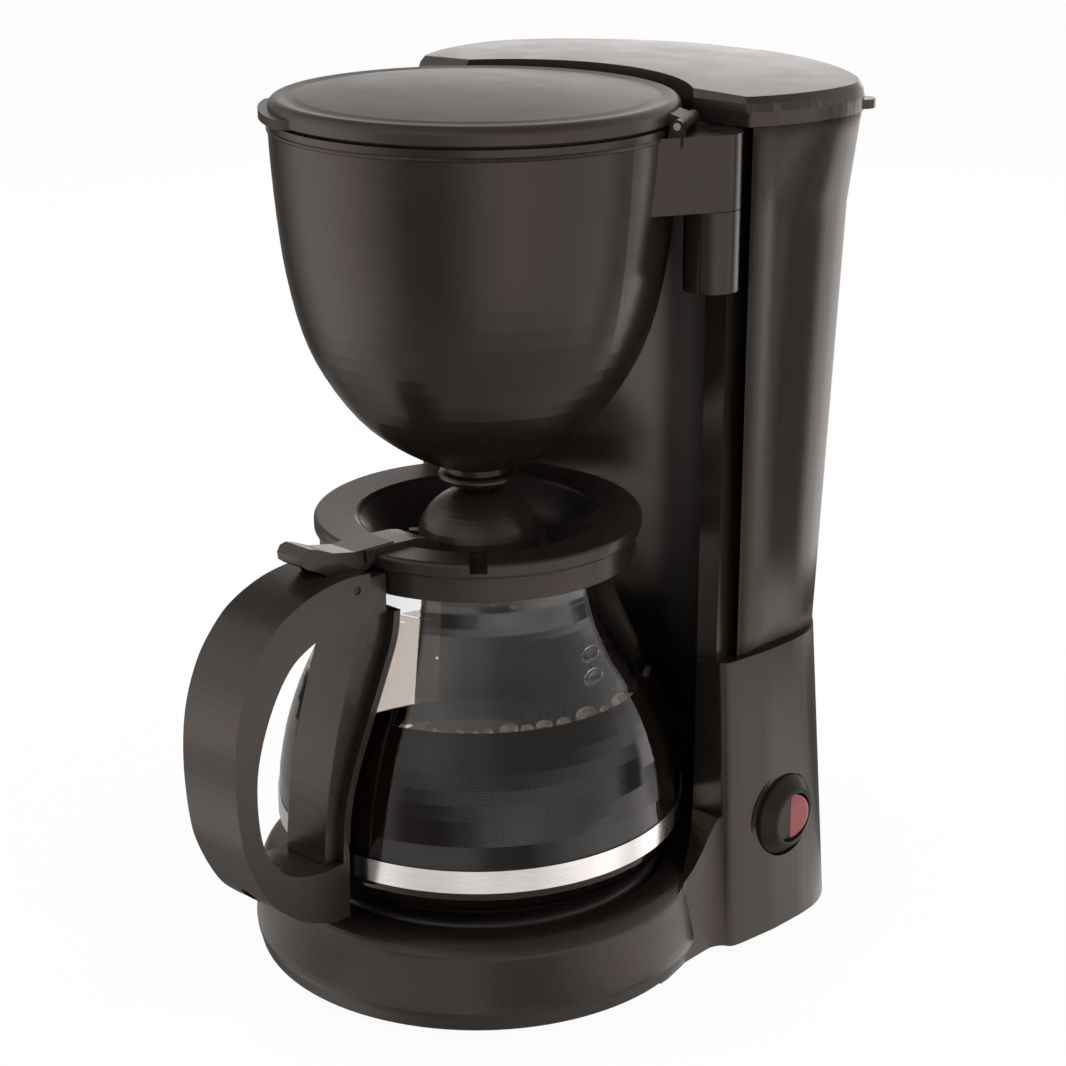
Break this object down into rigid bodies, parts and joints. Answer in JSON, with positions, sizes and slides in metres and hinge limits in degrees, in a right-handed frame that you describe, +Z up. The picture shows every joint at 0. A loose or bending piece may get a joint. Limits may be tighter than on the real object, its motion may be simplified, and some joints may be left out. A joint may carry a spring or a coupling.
{
  "type": "drip coffee maker",
  "caption": "Drip coffee maker with swing-out filter holder, rear water tank, round hot plate, lit rocker switch and a glass carafe with hinged brew-through lid.",
  "frame": {"origin": "on the table under the middle of the machine's bounding box, handle included", "axes": "+Z up, front and carafe handle at -Y, power switch at +X"},
  "size_m": [0.18, 0.2788, 0.3162],
  "materials": {
    "housing": "satin",
    "column": "satin",
    "tank_smoke": "gloss",
    "lid": "satin",
    "holder": "satin",
    "inner_plastic": "matte",
    "rubber": "matte",
    "silicone": "satin",
    "steel": "satin",
    "band": "polished",
    "aluminium": "satin",
    "hot_plate": "satin",
    "mesh": "matte",
    "ceramic": "matte",
    "switch": "gloss",
    "lens": "gloss",
    "glass": "clear",
    "handle": "satin"
  },
  "bodies": {
    "base": {"base_housing": "housing", "base_cover": "housing", "rubber_feet": "rubber", "cover_screws": "steel", "warming_plate": "hot_plate", "plate_seal": "rubber", "heater": "aluminium", "heater_bracket": "steel", "thermostat": "ceramic", "thermal_fuse": "ceramic", "inlet_hose": "silicone", "outlet_hose": "silicone", "check_valve": "inner_plastic", "riser_tube": "inner_plastic", "outlet_spout": "column", "column_shell": "column", "water_tank": "tank_smoke", "tank_gasket": "silicone", "swing_pin": "steel", "switch_body": "switch", "cord_grommet": "rubber"},
    "filter": {"filter_holder": "holder", "filter_lid_pin": "steel", "filter_frame": "holder", "filter_mesh": "mesh", "shower_tray": "inner_plastic", "nozzle_collar": "holder", "drip_seal": "silicone", "drip_spring": "steel"},
    "filter_lid": {"filter_lid": "lid"},
    "drip_valve": {"drip_valve": "inner_plastic"},
    "tank_lid": {"tank_lid": "lid", "tank_lid_pin": "steel"},
    "switch_rocker": {"switch_rocker": "switch", "switch_lens": "lens"},
    "carafe": {"carafe_glass": "glass", "carafe_band": "band", "carafe_handle": "handle", "handle_post": "handle", "band_screw": "steel", "carafe_collar": "handle", "carafe_lid_pin": "steel"},
    "carafe_lid": {"carafe_lid": "handle", "brew_dome": "handle"}
  },
  "joints": [
    {"name": "filter_swing", "type": "hinge", "parent": "base", "child": "filter", "pos_m": [0.071, 0.02795, 0.29], "axis": [0, 0, 1], "range_deg": [0, 100]},
    {"name": "filter_lid_hinge", "type": "hinge", "parent": "filter", "child": "filter_lid", "pos_m": [0.06562, 0.01915, 0.3075], "axis": [-0.4226, 0.9063, 0], "range_deg": [0, 80]},
    {"name": "drip_valve_lift", "type": "slide", "parent": "filter", "child": "drip_valve", "axis": [0, 0, 1], "range_m": [0, 0.003], "stiffness_N_per_m": 150, "springref_m": -0.004, "deforming": ["drip_spring"]},
    {"name": "tank_lid_hinge", "type": "hinge", "parent": "base", "child": "tank_lid", "pos_m": [0, 0.13605, 0.308], "axis": [-1, 0, 0], "range_deg": [0, 100]},
    {"name": "switch_rocker_tilt", "type": "hinge", "parent": "base", "child": "switch_rocker", "pos_m": [0.08416, 0.06255, 0.0475], "axis": [0, 0, 1], "range_deg": [0, 12]},
    {"name": "carafe_slide", "type": "slide", "parent": "base", "child": "carafe", "axis": [0, -1, 0], "range_m": [0, 0.19]},
    {"name": "carafe_lid_hinge", "type": "hinge", "parent": "carafe", "child": "carafe_lid", "pos_m": [0, -0.08345, 0.159], "axis": [1, 0, 0], "range_deg": [0, 0.3]}
  ]
}
